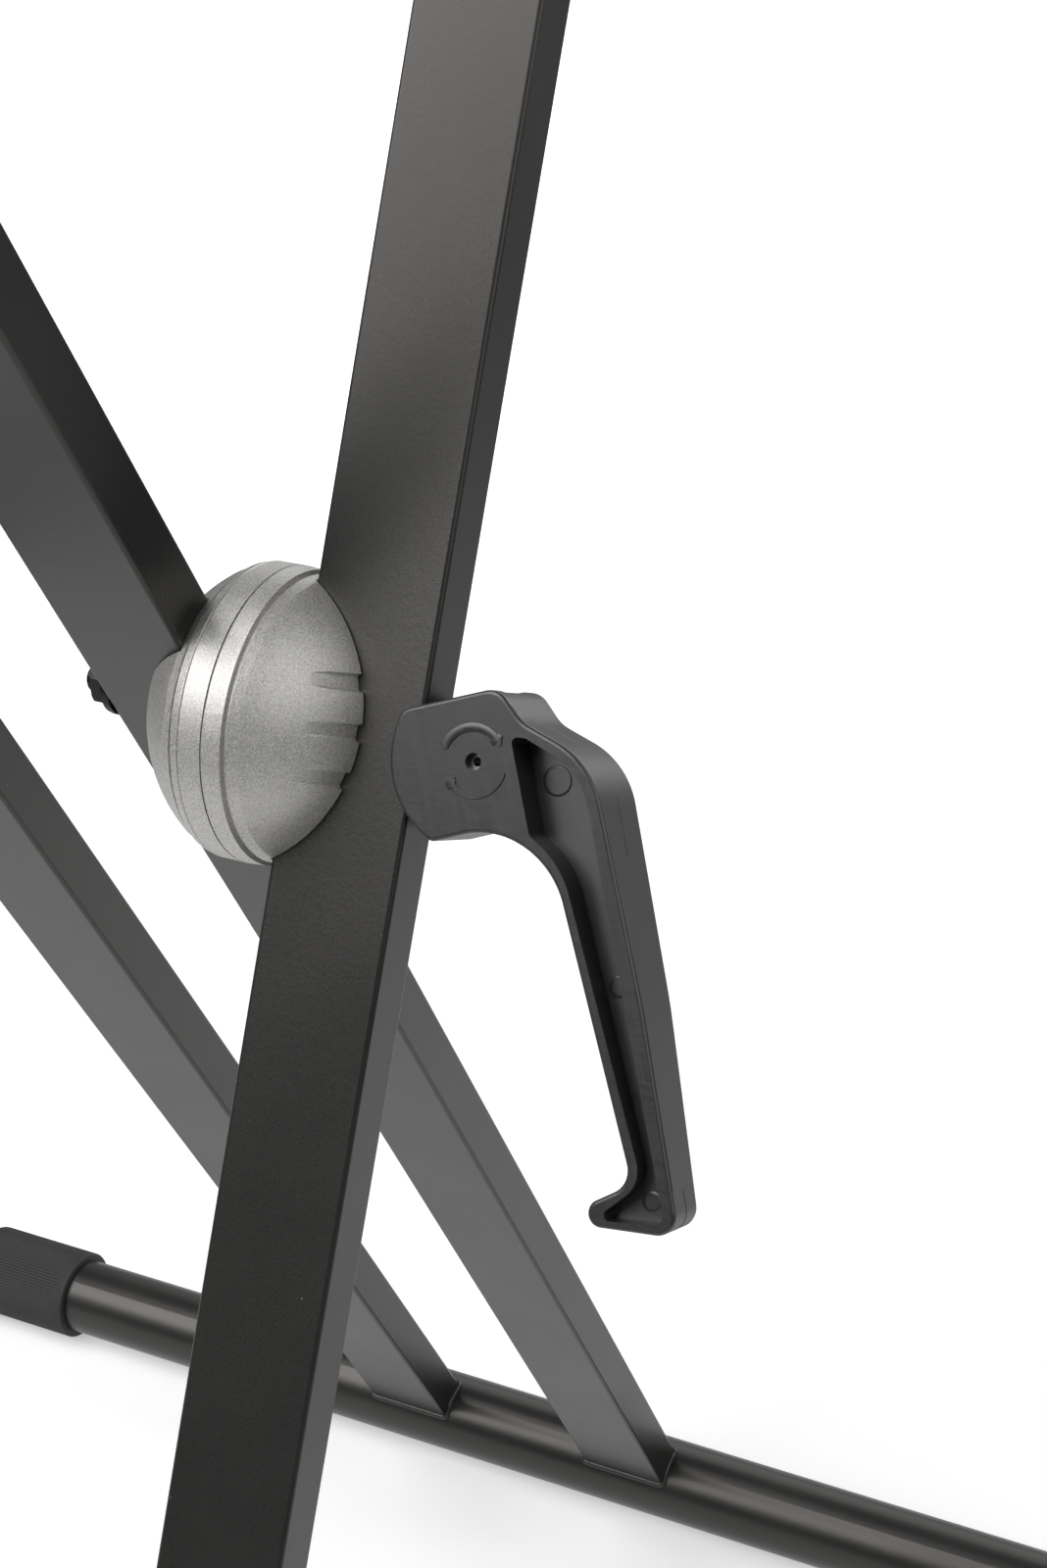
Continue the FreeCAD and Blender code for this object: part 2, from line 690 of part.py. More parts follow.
def build():
    """Every piece by its node name, stood up in the photographed pose."""
    pieces = {}
    rod_bore = rod_radius + running_clearance
    pivot_bore = pivot_radius + running_clearance
    for frame_name, lean_sign, pair_y in (("outer", OUTER, outer_y), ("inner", INNER, inner_y)):
        pieces[frame_name + "_leg_front"] = stand_up(leg(-pair_y, sleeve_radius), lean_sign)
        pieces[frame_name + "_leg_rear"] = stand_up(leg(pair_y, sleeve_radius), lean_sign)
        sleeves = Part.makeCompound([leg_sleeve(-pair_y, rod_bore), leg_sleeve(pair_y, pivot_bore)])
        pieces[frame_name + "_leg_sleeves"] = stand_up(sleeves, lean_sign)
        for end_name, end_z in (("foot", -leg_reach), ("top", leg_reach)):
            pieces[frame_name + "_" + end_name + "_tube"] = stand_up(cross_tube(end_z), lean_sign)
            for side_name, side in (("front", -1), ("rear", 1)):
                name = frame_name + "_" + end_name + "_cap_" + side_name
                pieces[name] = stand_up(end_cap(end_z, side), lean_sign)
    web_middle = (rear_face_place - front_face_place) / 2
    web_from = web_middle - web_thickness / 2
    web_to = web_middle + web_thickness / 2
    pieces["front_hub_shell"] = stand_up(hub_shell(front_face_place, -1), OUTER)
    pieces["rear_hub_shell"] = stand_up(hub_shell(rear_face_place, 1), INNER)
    pieces["front_clutch_plate"] = stand_up(clutch_plate(front_face_place, -web_from, -1), OUTER)
    pieces["rear_clutch_plate"] = stand_up(clutch_plate(rear_face_place, web_to, 1), INNER)
    pieces["centre_ring"] = stand_up(centre_ring(web_from, web_to), INNER)
    pieces["release_springs"] = stand_up(release_springs(), OUTER)
    pieces["pull_rod"] = stand_up(pull_rod(), OUTER)
    pieces["rod_washer"] = stand_up(rod_washer(), OUTER)
    pieces["rod_nut"] = stand_up(rod_nut(), OUTER)
    pieces["cam_lever"] = stand_up(cam_lever(), OUTER)
    pieces["lever_pin"] = stand_up(lever_pin(), OUTER)
    pieces["cam_pad"] = stand_up(cam_pad(), OUTER)
    pieces["inner_pivot_spacer"] = stand_up(pivot_spacer(-1), INNER)
    pieces["outer_pivot_spacer"] = stand_up(pivot_spacer(1), OUTER)
    pieces["pivot_friction_washer"] = stand_up(pivot_friction_washer(), OUTER)
    pieces["pivot_bolt"] = stand_up(pivot_bolt(), OUTER)
    pieces["pivot_nut"] = stand_up(pivot_nut(), OUTER)
    pieces["pivot_washers"] = stand_up(pivot_washers(), OUTER)
    return pieces


os.makedirs("parts", exist_ok=True)
for node, shape in build().items():
    shape.exportStep("parts/" + node + ".step")
    print(node, "valid", shape.isValid(), "solids", len(shape.Solids), "volume", round(shape.Volume, 1))
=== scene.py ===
"""Looks of a folding keyboard stand: the finish of every piece, the fine surfaces and the studio."""
import json
import logging
import math
from dataclasses import dataclass, field
from enum import Enum
from itertools import product

import bmesh
import bpy
import numpy as np
from mathutils import Matrix, Vector


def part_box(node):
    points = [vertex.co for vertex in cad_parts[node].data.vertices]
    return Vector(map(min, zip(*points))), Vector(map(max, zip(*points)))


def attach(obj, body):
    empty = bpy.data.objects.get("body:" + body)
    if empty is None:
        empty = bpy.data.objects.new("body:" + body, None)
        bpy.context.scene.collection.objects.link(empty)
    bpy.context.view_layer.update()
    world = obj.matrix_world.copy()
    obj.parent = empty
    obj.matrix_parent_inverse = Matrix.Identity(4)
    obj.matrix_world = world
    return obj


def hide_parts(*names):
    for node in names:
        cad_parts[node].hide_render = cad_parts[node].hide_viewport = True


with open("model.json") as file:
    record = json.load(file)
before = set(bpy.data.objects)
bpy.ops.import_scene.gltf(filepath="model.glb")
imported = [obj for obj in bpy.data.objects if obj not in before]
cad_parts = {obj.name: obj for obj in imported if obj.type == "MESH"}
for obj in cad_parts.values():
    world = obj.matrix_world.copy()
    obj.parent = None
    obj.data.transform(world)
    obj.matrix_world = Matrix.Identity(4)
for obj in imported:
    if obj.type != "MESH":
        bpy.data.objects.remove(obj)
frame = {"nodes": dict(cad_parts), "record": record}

Colour = tuple[float, float, float]
Place = tuple[float, float, float]

LOG = logging.getLogger("keyboard_stand")
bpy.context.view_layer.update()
JOINTS = {joint["name"]: joint for joint in frame["record"]["behaviour"]["joints"]}
MM = 0.001
TAU = 2 * math.pi
HINGE_HEIGHT = JOINTS["frame_fold"]["pos_m"][2]
LEAN = math.acos(-JOINTS["lever_swing"]["axis"][0])
LEG_REACH = 479.0 * MM  # from the hinge to the axis of either end tube
TUBE_RADIUS = 14.1 * MM
BLACK: Colour = (0.0, 0.0, 0.0)
WHITE: Colour = (1.0, 1.0, 1.0)


class Frame(Enum):
    """The two welded frames, by the way that they lean: its value is the sign of the lean about +Y."""

    OUTER = 1
    INNER = -1

    @property
    def body(self) -> str:
        """The moving body that this frame's pieces ride on."""
        return self.name.lower() + "_frame"


class End(Enum):
    """The two ends of a leg, by the sign of their place along the leg."""

    FOOT = -1
    TOP = 1


class Side(Enum):
    """The two ends of a round tube, by the sign of their place along the hinge axis."""

    FRONT = -1
    REAR = 1


def grey(level: float) -> Colour:
    """A grey whose three channels have one level."""
    return (level, level, level)


def scaled(colour: Colour, times: float) -> Colour:
    """A colour with each channel multiplied."""
    return tuple(times * level for level in colour)


def stand_up(points: np.ndarray, lean: Frame) -> np.ndarray:
    """Lean points drawn in a leg's own frame about the hinge axis and lift them to the hinge.

    The leg's frame has X across its narrow side, Y along the hinge axis and Z up the leg. The points
    turn about Y by the lean, and the hinge's height is added to Z.

    Args:
        points: Array of (..., 3) places in metres.
        lean: The frame that the leg belongs to.

    Returns:
        The same array of places in the stand's frame.
    """
    c, s = math.cos(LEAN), math.sin(LEAN) * lean.value
    x, y, z = points[..., 0], points[..., 1], points[..., 2]
    return np.stack([c * x + s * z, y, c * z - s * x + HINGE_HEIGHT], axis=-1)


class Wire:
    """One output of a shader node, with arithmetic that adds Math nodes."""

    def __init__(self, nodes: "Nodes", socket: bpy.types.NodeSocket) -> None:
        """Keep the output and the node tree that it belongs to."""
        self.nodes = nodes
        self.socket = socket

    def _maths(self, operation: str, first: "Wire | float", second: "Wire | float") -> "Wire":
        """Add a Math node that joins two values."""
        return self.nodes.node("ShaderNodeMath", {"operation": operation}, {0: first, 1: second})

    def __add__(self, other: "Wire | float") -> "Wire":
        """Sum."""
        return self._maths("ADD", self, other)

    __radd__ = __add__

    def __sub__(self, other: "Wire | float") -> "Wire":
        """Difference."""
        return self._maths("SUBTRACT", self, other)

    def __rsub__(self, other: "Wire | float") -> "Wire":
        """Difference from a number."""
        return self._maths("SUBTRACT", other, self)

    def __mul__(self, other: "Wire | float") -> "Wire":
        """Product."""
        return self._maths("MULTIPLY", self, other)

    __rmul__ = __mul__

    def above(self, limit: float) -> "Wire":
        """One where the value is above a limit, else nought."""
        return self._maths("GREATER_THAN", self, limit)

    def below(self, limit: float) -> "Wire":
        """One where the value is below a limit, else nought."""
        return self._maths("LESS_THAN", self, limit)

    def swing(self, width: float, plain: float = 0.5) -> "Wire":
        """How far the value is from its plain level, times a width."""
        return (self - plain) * width


class Nodes:
    """A node tree to which nodes are added in one way."""

    def __init__(self, tree: bpy.types.NodeTree) -> None:
        """Keep the tree."""
        self.tree = tree

    def node(
        self,
        kind: str,
        settings: dict[str, object] | None = None,
        inputs: "dict[str | int, Wire | float | tuple[float, ...]] | None" = None,
        output: str | int = 0,
    ) -> Wire:
        """Add any node: first its settings, then the values or links of its sockets.

        Args:
            kind: The node's type name.
            settings: Properties to set, such as a Math node's operation.
            inputs: Socket names or numbers with a value or a Wire.
            output: The socket that the Wire holds.

        Returns:
            The chosen output.
        """
        node = self.tree.nodes.new(kind)
        for key, value in (settings or {}).items():
            setattr(node, key, value)
        for key, value in (inputs or {}).items():
            self.feed(node.inputs[key], value)
        return Wire(self, node.outputs[output])

    def feed(self, socket: bpy.types.NodeSocket, value: "Wire | float | tuple[float, ...]") -> None:
        """Link a Wire to an input socket, or set a plain value on it.

        Args:
            socket: The input socket.
            value: What it takes.
        """
        if isinstance(value, Wire):
            self.tree.links.new(value.socket, socket)
        else:
            socket.default_value = value

    def mix(self, share: "Wire | float", first: "Wire | Colour", second: "Wire | Colour") -> Wire:
        """Mix two colours.

        Args:
            share: Share of the second colour.
            first: Linear RGB.
            second: Linear RGB.

        Returns:
            The mixed colour.
        """
        node = self.tree.nodes.new("ShaderNodeMix")
        node.data_type = "RGBA"
        sockets = {socket.identifier: socket for socket in (*node.inputs, *node.outputs)}
        self.feed(sockets["Factor_Float"], share)
        for key, colour in {"A_Color": first, "B_Color": second}.items():
            self.feed(sockets[key], (*colour, 1.0) if isinstance(colour, tuple) else colour)
        return Wire(self, sockets["Result_Color"])

    def ray(self, kind: str) -> Wire:
        """One for rays of a kind, such as Camera, else nought."""
        return self.node("ShaderNodeLightPath", output=f"Is {kind} Ray")

    def sight(self) -> Wire:
        """One for rays that come from the camera or through glass, else nought."""
        return self.ray("Camera") + self.ray("Transmission")


class Shader(Nodes):
    """A material's nodes round one Principled shader."""

    def __init__(self, name: str) -> None:
        """Make a material with a Principled shader and Object coordinates.

        Args:
            name: The material's name.
        """
        self.material = bpy.data.materials.new(name)
        self.material.use_nodes = True
        super().__init__(self.material.node_tree)
        self.principled = self.tree.nodes["Principled BSDF"]
        self.place = self.node("ShaderNodeTexCoord", output="Object")

    def surface(self, **inputs: "Wire | float | tuple[float, ...]") -> bpy.types.Material:
        """Set the Principled shader's sockets, with underscores for spaces, and give the material.

        Args:
            **inputs: Values or Wires by socket name.

        Returns:
            The finished material.
        """
        for key, value in inputs.items():
            self.feed(self.principled.inputs[key.replace("_", " ")], value)
        return self.material

    def noise(
        self, size: float, detail: float, roughness: float = 0.5, stretch: "Wire | None" = None
    ) -> Wire:
        """A cloudy value from 0 to 1 whose blotches are about one size across.

        Args:
            size: Size of a blotch in metres.
            detail: Octaves of finer detail.
            roughness: Strength of the finer detail.
            stretch: Coordinates to use in place of plain Object ones.

        Returns:
            The noise value.
        """
        inputs = {"Vector": stretch or self.place, "Scale": 1 / size}
        inputs |= {"Detail": detail, "Roughness": roughness}
        return self.node("ShaderNodeTexNoise", {"normalize": True}, inputs)

    def streaks(self, way: Place, times: float) -> Wire:
        """Object coordinates turned and drawn out, so that a pattern runs in streaks.

        Args:
            way: Direction of the streaks.
            times: How much longer than wide they are.

        Returns:
            The coordinates.
        """
        turn = tuple(Vector(way).to_track_quat("Z", "Y").to_euler())
        inputs = {"Vector": self.place, "Rotation": turn, "Scale": (1.0, 1.0, times)}
        return self.node("ShaderNodeMapping", {"vector_type": "TEXTURE"}, inputs)

    def cells(self, size: float) -> Wire:
        """Distance, in cell sizes, to the nearest of random points that are about one size apart."""
        return self.node("ShaderNodeTexVoronoi", {}, {"Vector": self.place, "Scale": 1 / size}, "Distance")

    def cell_values(self, size: float) -> Wire:
        """One random value from 0 to 1 for each of the cells round random points."""
        colour = self.node("ShaderNodeTexVoronoi", {}, {"Vector": self.place, "Scale": 1 / size}, "Color")
        return self.node("ShaderNodeSeparateColor", {}, {"Color": colour})

    def bump(self, height: Wire, depth: float) -> Wire:
        """A normal that leans as if the surface stood up by a height.

        Args:
            height: Relief from 0 to 1.
            depth: Metres that a height of 1 stands up.

        Returns:
            The normal.
        """
        return self.node("ShaderNodeBump", {}, {"Height": height, "Distance": depth}, "Normal")


@dataclass(frozen=True)
class PowderCoat:
    """Satin black powder coat on steel tube, with a fine orange peel and a few specks of dust."""

    colour: Colour = (0.0120, 0.0117, 0.0113)
    speck: Colour = (0.30, 0.30, 0.29)
    pale_times: float = 2.0
    roughness: float = 0.34
    shine: float = 0.70
    tint: tuple[float, float, float, float] = (1.0, 0.975, 0.945, 1.0)
    peel: float = 1.1 * MM
    grain: float = 0.28 * MM
    cloud: float = 38 * MM
    depth: float = 0.034 * MM
    cloud_in_colour: float = 0.6
    plain_grain: float = 0.3
    cloud_in_roughness: float = 0.10
    grain_in_roughness: float = 0.22
    peel_in_relief: float = 0.6
    speck_spacing: float = 6 * MM
    speck_radius_in_spacings: float = 0.024
    specks_left_out: float = 0.60

    def material(self) -> bpy.types.Material:
        """Build the finish.

        Returns:
            The material.
        """
        shader = Shader("powder_coat")
        peel = shader.noise(self.peel, detail=2.0)
        grain = shader.noise(self.grain, detail=1.0)
        cloud = shader.noise(self.cloud, detail=3.0)
        near = shader.cells(self.speck_spacing).below(self.speck_radius_in_spacings)
        speck = near * shader.cell_values(self.speck_spacing).above(self.specks_left_out)
        share = cloud.swing(self.cloud_in_colour) + (grain - self.plain_grain)
        coat = shader.mix(share, self.colour, scaled(self.colour, self.pale_times))
        uneven = cloud.swing(self.cloud_in_roughness) + grain.swing(self.grain_in_roughness)
        relief = peel * self.peel_in_relief + grain * (1 - self.peel_in_relief)
        return shader.surface(
            Base_Color=shader.mix(speck, coat, self.speck),
            Roughness=self.roughness + uneven,
            Specular_IOR_Level=self.shine,
            Specular_Tint=self.tint,
            Normal=shader.bump(relief, self.depth),
        )


@dataclass(frozen=True)
class SilverPaint:
    """Metallic silver paint on a casting, with a fine flake that shows."""

    colour: Colour = (0.88, 0.868, 0.845)
    dark: Colour = (0.40, 0.394, 0.382)
    roughness: float = 0.46
    metallic: float = 0.72
    flake: float = 0.20 * MM
    grain: float = 0.16 * MM
    cloud: float = 14 * MM
    depth: float = 0.030 * MM
    flake_in_colour: float = 0.8
    grain_in_colour: float = 1.4
    least_colour: float = 0.1
    flake_in_roughness: float = 0.16
    cloud_in_roughness: float = 0.05
    grain_in_relief: float = 0.7

    def material(self) -> bpy.types.Material:
        """Build the finish.

        Returns:
            The material.
        """
        shader = Shader("silver_paint")
        flake = shader.cell_values(self.flake)
        grain = shader.noise(self.grain, detail=1.5)
        cloud = shader.noise(self.cloud, detail=2.0)
        share = flake * self.flake_in_colour + grain.swing(self.grain_in_colour) + self.least_colour
        uneven = flake.swing(self.flake_in_roughness) + cloud.swing(self.cloud_in_roughness)
        relief = grain * self.grain_in_relief + flake * (1 - self.grain_in_relief)
        return shader.surface(
            Base_Color=shader.mix(share, self.dark, self.colour),
            Metallic=self.metallic,
            Roughness=self.roughness + uneven,
            Normal=shader.bump(relief, self.depth),
        )


@dataclass(frozen=True)
class MouldedPlastic:
    """Black glass-filled plastic with a fine moulded grain, faint flow marks and scuffs."""

    name: str = "lever_plastic"
    colour: Colour = (0.0165, 0.0165, 0.0168)
    roughness: float = 0.38
    shine: float = 1.0
    pale_times: float = 2.6
    grain: float = 0.2 * MM
    depth: float = 0.010 * MM
    flow: float = 1.3 * MM
    flow_way: Place = (-0.436, -0.354, -0.827)
    flow_times: float = 14.0
    plain_flow: float = 0.45
    scuff: float = 0.5 * MM
    scuff_way: Place = (0.0, 1.0, 0.0)
    scuff_times: float = 9.0
    plain_scuff: float = 0.4
    flow_in_colour: float = 0.7
    scuff_in_colour: float = 0.9
    flow_in_roughness: float = 0.14
    scuff_in_roughness: float = 0.28
    grain_in_roughness: float = 0.1
    grain_in_relief: float = 0.6

    def material(self) -> bpy.types.Material:
        """Build the finish.

        Returns:
            The material.
        """
        shader = Shader(self.name)
        grain = shader.noise(self.grain, detail=2.0)
        along = shader.streaks(self.flow_way, self.flow_times)
        across = shader.streaks(self.scuff_way, self.scuff_times)
        flow = shader.noise(self.flow, detail=3.0, roughness=0.6, stretch=along)
        scuff = shader.noise(self.scuff, detail=3.0, roughness=0.7, stretch=across)
        share = flow.swing(self.flow_in_colour, self.plain_flow)
        share += scuff.swing(self.scuff_in_colour, self.plain_scuff)
        uneven = flow.swing(self.flow_in_roughness) + scuff.swing(self.scuff_in_roughness)
        relief = grain * self.grain_in_relief + flow * (1 - self.grain_in_relief)
        return shader.surface(
            Base_Color=shader.mix(share, self.colour, scaled(self.colour, self.pale_times)),
            Roughness=self.roughness + uneven + grain.swing(self.grain_in_roughness),
            Specular_IOR_Level=self.shine,
            Normal=shader.bump(relief, self.depth),
        )


@dataclass(frozen=True)
class CapRubber:
    """Matte black rubber with a faint pale bloom."""

    colour: Colour = (0.026, 0.0258, 0.0255)
    roughness: float = 0.62
    pale_times: float = 1.6
    bloom: float = 9 * MM
    plain_bloom: float = 0.4
    bloom_in_colour: float = 1.2
    bloom_in_roughness: float = 0.12
    grain: float = 0.25 * MM
    depth: float = 0.012 * MM

    def material(self) -> bpy.types.Material:
        """Build the finish.

        Returns:
            The material.
        """
        shader = Shader("cap_rubber")
        bloom = shader.noise(self.bloom, detail=3.0)
        grain = shader.noise(self.grain, detail=1.0)
        share = bloom.swing(self.bloom_in_colour, self.plain_bloom)
        return shader.surface(
            Base_Color=shader.mix(share, self.colour, scaled(self.colour, self.pale_times)),
            Roughness=self.roughness + bloom.swing(self.bloom_in_roughness),
            Normal=shader.bump(grain, self.depth),
        )


@dataclass(frozen=True)
class MetalFinish:
    """Bare, plated or blackened steel, with faint stains and a fine grain."""

    name: str
    colour: Colour
    roughness: float
    metallic: float = 0.9
    dull_times: float = 0.6
    stain: float = 4 * MM
    grain: float = 0.3 * MM
    depth: float = 0.008 * MM
    stain_in_roughness: float = 0.15
    grain_in_roughness: float = 0.08

    def material(self) -> bpy.types.Material:
        """Build the finish.

        Returns:
            The material.
        """
        shader = Shader(self.name)
        stain = shader.noise(self.stain, detail=3.0)
        grain = shader.noise(self.grain, detail=2.0)
        uneven = stain.swing(self.stain_in_roughness) + grain.swing(self.grain_in_roughness)
        return shader.surface(
            Base_Color=shader.mix(stain, self.colour, scaled(self.colour, self.dull_times)),
            Metallic=self.metallic,
            Roughness=self.roughness + uneven,
            Normal=shader.bump(grain, self.depth),
        )


class Finishes:
    """The stand's materials, by the record's slot names."""

    def __init__(self) -> None:
        """Build every material once."""
        # A near-black plastic whose only use is a line of painted shade on the lever's back.
        self.seam = MouldedPlastic("mould_seam", grey(0.004), roughness=0.7).material()
        self.by_slot = {
            "powder_coat": PowderCoat().material(),
            "hub_casting": SilverPaint().material(),
            "lever_plastic": MouldedPlastic().material(),
            "spacer_plastic": MouldedPlastic("spacer_plastic", grey(0.024), roughness=0.5).material(),
            "cap_rubber": CapRubber().material(),
            "black_steel": MetalFinish("black_steel", (0.05, 0.05, 0.052), roughness=0.38).material(),
            "plain_steel": MetalFinish("plain_steel", (0.30, 0.30, 0.29), roughness=0.36).material(),
            "clutch_steel": MetalFinish("clutch_steel", (0.36, 0.35, 0.34), roughness=0.42).material(),
            "spring_steel": MetalFinish("spring_steel", (0.38, 0.38, 0.40), roughness=0.3).material(),
        }

    def dress(self, piece: bpy.types.Object, slot: str) -> None:
        """Give a piece the material of its slot.

        Args:
            piece: A CAD node or a new piece.
            slot: The record's slot name.
        """
        if piece.material_slots:
            for place in piece.material_slots:
                place.material = self.by_slot[slot]
        else:
            piece.data.materials.append(self.by_slot[slot])
        LOG.info("%s is dressed in %s", piece.name, slot)

    def dress_nodes(self) -> None:
        """Give every CAD node the material that the record names for it."""
        for entry in frame["record"]["subparts"]:
            self.dress(frame["nodes"][entry["node"]], entry["material_slot"])

    def finish(self, piece: bpy.types.Object, slot: str, body: str) -> None:
        """Dress a new piece in its slot's material and let it ride on its body.

        Args:
            piece: The new piece.
            slot: The record's slot name.
            body: The moving body.
        """
        self.dress(piece, slot)
        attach(piece, body)
        LOG.info("%s rides on %s", piece.name, body)


class Surface:
    """Turns grids of points into meshes of quads, and works out paths for them."""

    DOUBLES = 0.0005 * MM
    SHARP_TURN = math.radians(38)

    @staticmethod
    def piece(name: str, grid: np.ndarray, around: bool = False, along: bool = False) -> bpy.types.Object:
        """Make an object whose vertices are the grid's points, joined to their neighbours.

        Args:
            name: The piece's name.
            grid: Array (rows, columns, 3) of places in metres.
            around: Whether the last column joins the first.
            along: Whether the last row joins the first.

        Returns:
            The object, with its faces turned outwards and smooth but for sharp edges.
        """
        rows, columns = grid.shape[:2]
        index = np.arange(rows * columns).reshape(rows, columns)
        if around:
            index = np.concatenate([index, index[:, :1]], axis=1)
        if along:
            index = np.concatenate([index, index[:1]], axis=0)
        corners = [index[:-1, :-1], index[:-1, 1:], index[1:, 1:], index[1:, :-1]]
        quads = np.stack(corners, axis=-1).reshape(-1, 4)
        mesh = bpy.data.meshes.new(name)
        mesh.vertices.add(rows * columns)
        mesh.vertices.foreach_set("co", grid.reshape(-1).astype(np.float32))
        mesh.loops.add(quads.size)
        mesh.loops.foreach_set("vertex_index", quads.reshape(-1).astype(np.int32))
        mesh.polygons.add(len(quads))
        mesh.polygons.foreach_set("loop_start", np.arange(0, quads.size, 4, dtype=np.int32))
        mesh.update(calc_edges=True)
        Surface.tidy(mesh)
        piece = bpy.data.objects.new(name, mesh)
        bpy.context.scene.collection.objects.link(piece)
        return piece

    @staticmethod
    def tidy(mesh: bpy.types.Mesh) -> None:
        """Merge double points, turn the faces outwards and smooth all but the sharp edges.

        Args:
            mesh: The mesh to tidy.
        """
        work = bmesh.new()
        work.from_mesh(mesh)
        bmesh.ops.remove_doubles(work, verts=work.verts, dist=Surface.DOUBLES)
        bmesh.ops.recalc_face_normals(work, faces=work.faces)
        work.to_mesh(mesh)
        work.free()
        mesh.shade_smooth()
        mesh.set_sharp_from_angle(angle=Surface.SHARP_TURN)

    @staticmethod
    def even(path: np.ndarray, step: float) -> np.ndarray:
        """Points along an open path, an even step apart.

        Each coordinate is interpolated over the length run along the path.

        Args:
            path: Array (points, axes).
            step: Distance between the new points.

        Returns:
            The new points.
        """
        run = np.concatenate([[0.0], np.cumsum(np.linalg.norm(np.diff(path, axis=0), axis=1))])
        places = np.linspace(0.0, run[-1], max(2, int(round(run[-1] / step)) + 1))
        return np.stack([np.interp(places, run, path[:, axis]) for axis in range(path.shape[1])], axis=-1)

    @staticmethod
    def rounded(corners: list[tuple[float, float, float]], steps: int = 14) -> np.ndarray:
        """An open path of straight runs joined by tangent arcs; its first and last corners are its ends.

        Each arc's points turn evenly about the centre that lies on the corner's bisector.

        Args:
            corners: Places with the radius of the arc at each.
            steps: Points on each arc.

        Returns:
            Array (points, 2).
        """
        places = np.array([corner[:2] for corner in corners])
        radii = [corner[2] for corner in corners[1:]]
        points = [places[:1]]
        for before, here, after, radius in zip(places, places[1:], places[2:], radii):
            back, ahead = before - here, after - here
            back, ahead = back / np.linalg.norm(back), ahead / np.linalg.norm(ahead)
            half = math.acos(float(np.clip(back @ ahead, -1, 1))) / 2
            middle = (back + ahead) / np.linalg.norm(back + ahead)
            centre = here + middle * radius / math.sin(half)
            start = here + back * radius / math.tan(half) - centre
            turn = (math.pi - 2 * half) * np.sign(back[0] * ahead[1] - back[1] * ahead[0])
            angle = -turn * np.linspace(0, 1, steps)
            c, s = np.cos(angle), np.sin(angle)
            arc = np.stack([c * start[0] - s * start[1], s * start[0] + c * start[1]], axis=-1)
            points.append(centre + arc)
        points.append(places[-1:])
        return np.concatenate(points)

    @staticmethod
    def normals(ahead: np.ndarray) -> np.ndarray:
        """Unit vectors a quarter turn to the left of a path's directions, each (points, 2)."""
        return np.stack([-ahead[:, 1], ahead[:, 0]], axis=-1) / np.linalg.norm(ahead, axis=1, keepdims=True)


@dataclass
class EndCaps:
    """Ribbed rubber caps on the ends of the four round tubes."""

    radius: float = 16.8 * MM
    start: float = 195.3 * MM
    length: float = 45.0 * MM
    end_wall: float = 4.0 * MM
    lip: float = 0.8 * MM
    end_round: float = 3.0 * MM
    end_ring_radius: float = 9.24 * MM
    round_points: int = 7
    ribs: int = 90
    ribs_from_mouth: float = 1.28 * MM
    ribs_from_end: float = 3.9 * MM
    rib_depth: float = 0.22 * MM
    groove_power: int = 3
    barrel_points: int = 9
    points_per_rib: int = 8

    def profile(self) -> np.ndarray:
        """Half section from the mouth over the barrel to the closed end and back inside.

        Returns:
            Array (points, 3) of radius, place along the tube, and share of rib depth there.
        """
        turn = np.linspace(0, math.pi / 2, self.round_points)
        mouth_radius = self.radius - self.lip + self.lip * np.sin(turn)
        mouth_place = self.lip - self.lip * np.cos(turn)
        barrel = np.linspace(self.ribs_from_mouth, self.length - self.ribs_from_end, self.barrel_points)
        end_radius = self.radius - self.end_round + self.end_round * np.cos(turn)
        end_place = self.length - self.end_round + self.end_round * np.sin(turn)
        inside = self.length - self.end_wall
        rows = [(TUBE_RADIUS, 0.0, 0.0)]
        rows += [(r, p, 0.0) for r, p in zip(mouth_radius, mouth_place)]
        rows += [(self.radius, p, 1.0) for p in barrel]
        rows += [(r, p, 0.0) for r, p in zip(end_radius, end_place)]
        rows += [(self.end_ring_radius, self.length, 0.0), (0.0, self.length, 0.0)]
        rows += [(0.0, inside, 0.0), (TUBE_RADIUS, inside, 0.0)]
        return np.array(rows)

    def build(self, lean: Frame, end: End, side: Side) -> bpy.types.Object:
        """Make one cap: its half section turned about the tube, its barrel drawn in between ribs.

        The radius falls by the rib depth times a power of a cosine of the angle, raised to run from
        nought to one.

        Args:
            lean: The frame that the tube belongs to.
            end: Which end of the legs the tube is on.
            side: Which end of the tube the cap is on.

        Returns:
            The cap.
        """
        section = self.profile()
        angle = np.linspace(0, TAU, self.ribs * self.points_per_rib, endpoint=False)
        groove = (0.5 + 0.5 * np.cos(self.ribs * angle)) ** self.groove_power
        radius = section[:, :1] - self.rib_depth * section[:, 2:] * groove[None, :]
        place = side.value * (self.start + section[:, 1:2]) + 0 * radius
        up = end.value * LEG_REACH + radius * np.sin(angle)
        points = stand_up(np.stack([radius * np.cos(angle), place, up], axis=-1), lean)
        node = f"{lean.name}_{end.name}_cap_{side.name}".lower()
        cap = Surface.piece("ribbed_" + node, points, around=True, along=True)
        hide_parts(node)
        return cap

    def make(self, finishes: Finishes) -> None:
        """Make all eight caps.

        Args:
            finishes: The stand's materials.
        """
        for lean, end, side in product(Frame, End, Side):
            finishes.finish(self.build(lean, end, side), "cap_rubber", lean.body)


